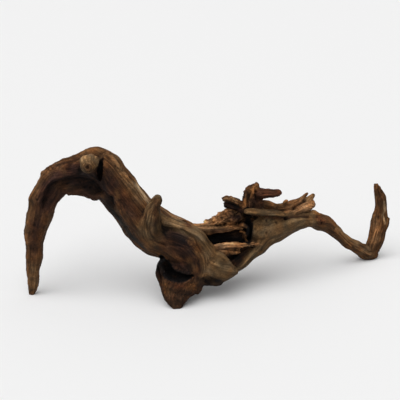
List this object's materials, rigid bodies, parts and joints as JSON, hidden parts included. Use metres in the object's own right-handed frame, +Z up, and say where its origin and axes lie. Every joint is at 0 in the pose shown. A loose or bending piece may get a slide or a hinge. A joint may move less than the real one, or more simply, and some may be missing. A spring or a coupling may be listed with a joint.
{
  "type": "ebony wood root",
  "caption": "Forked natural driftwood root with an arched leg, a broken stub, a hollow foot and splintered ends; stands on low points.",
  "frame": {"origin": "bottom centre of the bounding box, on the surface that the root rests on", "axes": "+X along the length towards the thin upturned arm, +Y away from the viewer of the picture, +Z up"},
  "size_m": [0.4308, 0.1613, 0.1652],
  "materials": {
    "wood": "dry weathered dark brown root wood, matt, with tan worn tops"
  },
  "bodies": {
    "root": {"wood_root": "wood"}
  },
  "joints": []
}
